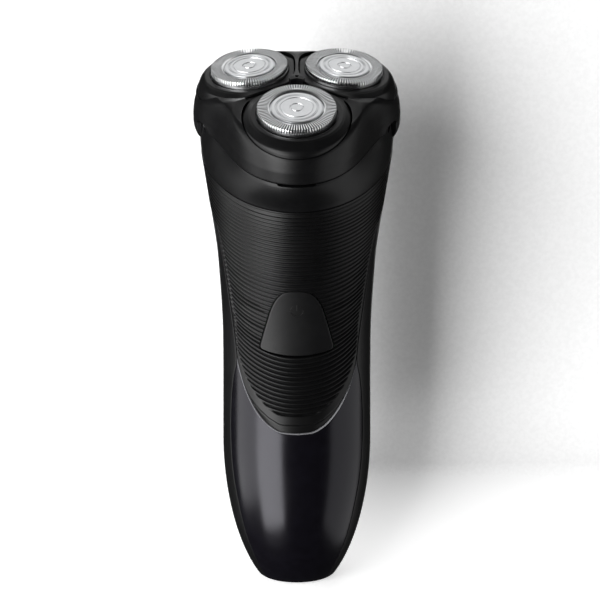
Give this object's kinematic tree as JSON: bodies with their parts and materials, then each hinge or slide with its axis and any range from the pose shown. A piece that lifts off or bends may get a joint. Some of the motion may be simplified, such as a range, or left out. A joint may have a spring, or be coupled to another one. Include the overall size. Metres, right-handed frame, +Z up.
{
  "type": "rotary electric shaver",
  "caption": "Cordless rotary electric shaver with a ribbed grip, push button, glossy lower cover and a hinged shaving unit of floating round heads.",
  "frame": {"origin": "middle of the footprint, on the surface the base stands on", "axes": "+Z up along the handle, -Y towards the button side, +X to the right as seen from the front"},
  "size_m": [0.0598, 0.06, 0.1607],
  "materials": {
    "black_plastic": "fine satin black",
    "gloss_cover": "glossy charcoal",
    "grip_rubber": "matt black rubber",
    "inner_plastic": "dark grey",
    "white_plastic": "natural white",
    "steel": "bright",
    "satin_steel": "satin",
    "board_green": "coated board",
    "cell_wrap": "printed wrap, no lettering",
    "brass": "bright",
    "copper": "enamelled copper"
  },
  "bodies": {
    "handle": {"rear_housing": "black_plastic", "front_cover": "gloss_cover", "grip_panel": "grip_rubber", "collar": "black_plastic", "top_deck": "inner_plastic", "gear_plate": "white_plastic", "hinge_pin": "steel", "motor_can": "satin_steel", "motor_endcap": "white_plastic", "chassis": "inner_plastic", "chassis_screw_1": "steel", "chassis_screw_2": "steel", "chassis_screw_3": "steel", "chassis_screw_4": "steel", "battery_cell": "cell_wrap", "battery_tab_top": "satin_steel", "battery_tab_bottom": "satin_steel", "circuit_board": "board_green", "tact_switch": "black_plastic", "filter_capacitor": "cell_wrap", "transformer": "copper", "inlet_socket": "black_plastic", "inlet_pin_left": "brass", "inlet_pin_right": "brass"},
    "rotor": {"motor_rotor": "copper", "motor_shaft": "steel", "drive_pinion": "brass"},
    "power_button": {"power_button": "black_plastic", "switch_plunger": "grip_rubber"},
    "shaving_unit": {"unit_frame": "black_plastic", "retaining_frame": "inner_plastic"},
    "gear_front": {"drive_gear_front": "white_plastic"},
    "spindle_front": {"drive_spindle_front": "white_plastic"},
    "petal_front": {"petal_front": "black_plastic"},
    "guard_front": {"guard_front": "steel", "guard_disc_front": "satin_steel"},
    "cutter_front": {"cutter_ring_front": "steel", "cutter_hub_front": "white_plastic"},
    "gear_left": {"drive_gear_left": "white_plastic"},
    "spindle_left": {"drive_spindle_left": "white_plastic"},
    "petal_left": {"petal_left": "black_plastic"},
    "guard_left": {"guard_left": "steel", "guard_disc_left": "satin_steel"},
    "cutter_left": {"cutter_ring_left": "steel", "cutter_hub_left": "white_plastic"},
    "gear_right": {"drive_gear_right": "white_plastic"},
    "spindle_right": {"drive_spindle_right": "white_plastic"},
    "petal_right": {"petal_right": "black_plastic"},
    "guard_right": {"guard_right": "steel", "guard_disc_right": "satin_steel"},
    "cutter_right": {"cutter_ring_right": "steel", "cutter_hub_right": "white_plastic"}
  },
  "joints": [
    {"name": "unit_open", "type": "hinge", "parent": "handle", "child": "shaving_unit", "pos_m": [0, 0.02615, 0.14893], "axis": [-1, 0, 0], "range_deg": [0, 100]},
    {"name": "motor_spin", "type": "hinge", "parent": "handle", "child": "rotor", "pos_m": [0, 0.00788, 0.12649], "axis": [0, -0.3584, 0.9336], "continuous": true},
    {"name": "power_button_press", "type": "slide", "parent": "handle", "child": "power_button", "axis": [0, 1, 0], "range_m": [0, 0.0007], "stiffness_N_per_m": 600, "springref_m": -0.0005},
    {"name": "gear_front_spin", "type": "hinge", "parent": "handle", "child": "gear_front", "pos_m": [0, -0.0088, 0.1278], "axis": [0, -0.3584, 0.9336], "continuous": true},
    {"name": "spindle_front_slide", "type": "slide", "parent": "gear_front", "child": "spindle_front", "axis": [0, -0.3584, 0.9336], "range_m": [-0.0012, 0]},
    {"name": "petal_front_tilt", "type": "hinge", "parent": "shaving_unit", "child": "petal_front", "pos_m": [0, -0.01454, 0.14298], "axis": [1, 0, 0], "range_deg": [-2, 2], "stiffness_Nm_per_rad": 0.1},
    {"name": "guard_front_float", "type": "slide", "parent": "petal_front", "child": "guard_front", "axis": [0, -0.4384, 0.8988], "range_m": [-0.0012, 0], "stiffness_N_per_m": 800, "springref_m": 0.0005},
    {"name": "cutter_front_spin", "type": "hinge", "parent": "guard_front", "child": "cutter_front", "pos_m": [0, -0.01743, 0.14891], "axis": [0, -0.4384, 0.8988], "continuous": true},
    {"name": "gear_left_spin", "type": "hinge", "parent": "handle", "child": "gear_left", "pos_m": [-0.01308, 0.01235, 0.13592], "axis": [0, -0.3584, 0.9336], "continuous": true},
    {"name": "spindle_left_slide", "type": "slide", "parent": "gear_left", "child": "spindle_left", "axis": [0, -0.3584, 0.9336], "range_m": [-0.0012, 0]},
    {"name": "petal_left_tilt", "type": "hinge", "parent": "shaving_unit", "child": "petal_left", "pos_m": [-0.01301, 0.0065, 0.15105], "axis": [-0.5, -0.8085, -0.3104], "range_deg": [-2, 2], "stiffness_Nm_per_rad": 0.1},
    {"name": "guard_left_float", "type": "slide", "parent": "petal_left", "child": "guard_left", "axis": [-0.0755, -0.3163, 0.9456], "range_m": [-0.0012, 0], "stiffness_N_per_m": 800, "springref_m": 0.0005},
    {"name": "cutter_left_spin", "type": "hinge", "parent": "guard_left", "child": "cutter_left", "pos_m": [-0.01351, 0.00441, 0.15729], "axis": [-0.0755, -0.3163, 0.9456], "continuous": true},
    {"name": "gear_right_spin", "type": "hinge", "parent": "handle", "child": "gear_right", "pos_m": [0.01308, 0.01235, 0.13592], "axis": [0, -0.3584, 0.9336], "continuous": true},
    {"name": "spindle_right_slide", "type": "slide", "parent": "gear_right", "child": "spindle_right", "axis": [0, -0.3584, 0.9336], "range_m": [-0.0012, 0]},
    {"name": "petal_right_tilt", "type": "hinge", "parent": "shaving_unit", "child": "petal_right", "pos_m": [0.01301, 0.0065, 0.15105], "axis": [-0.5, 0.8085, 0.3104], "range_deg": [-2, 2], "stiffness_Nm_per_rad": 0.1},
    {"name": "guard_right_float", "type": "slide", "parent": "petal_right", "child": "guard_right", "axis": [0.0755, -0.3163, 0.9456], "range_m": [-0.0012, 0], "stiffness_N_per_m": 800, "springref_m": 0.0005},
    {"name": "cutter_right_spin", "type": "hinge", "parent": "guard_right", "child": "cutter_right", "pos_m": [0.01351, 0.00441, 0.15729], "axis": [0.0755, -0.3163, 0.9456], "continuous": true}
  ],
  "couplings": [
    {"joint": "gear_front_spin", "follows": "motor_spin", "ratio": -0.66667},
    {"joint": "cutter_front_spin", "follows": "motor_spin", "ratio": -0.66667},
    {"joint": "spindle_front_slide", "follows": "guard_front_float", "ratio": 1},
    {"joint": "gear_left_spin", "follows": "motor_spin", "ratio": -0.66667},
    {"joint": "cutter_left_spin", "follows": "motor_spin", "ratio": -0.66667},
    {"joint": "spindle_left_slide", "follows": "guard_left_float", "ratio": 1},
    {"joint": "gear_right_spin", "follows": "motor_spin", "ratio": -0.66667},
    {"joint": "cutter_right_spin", "follows": "motor_spin", "ratio": -0.66667},
    {"joint": "spindle_right_slide", "follows": "guard_right_float", "ratio": 1}
  ]
}
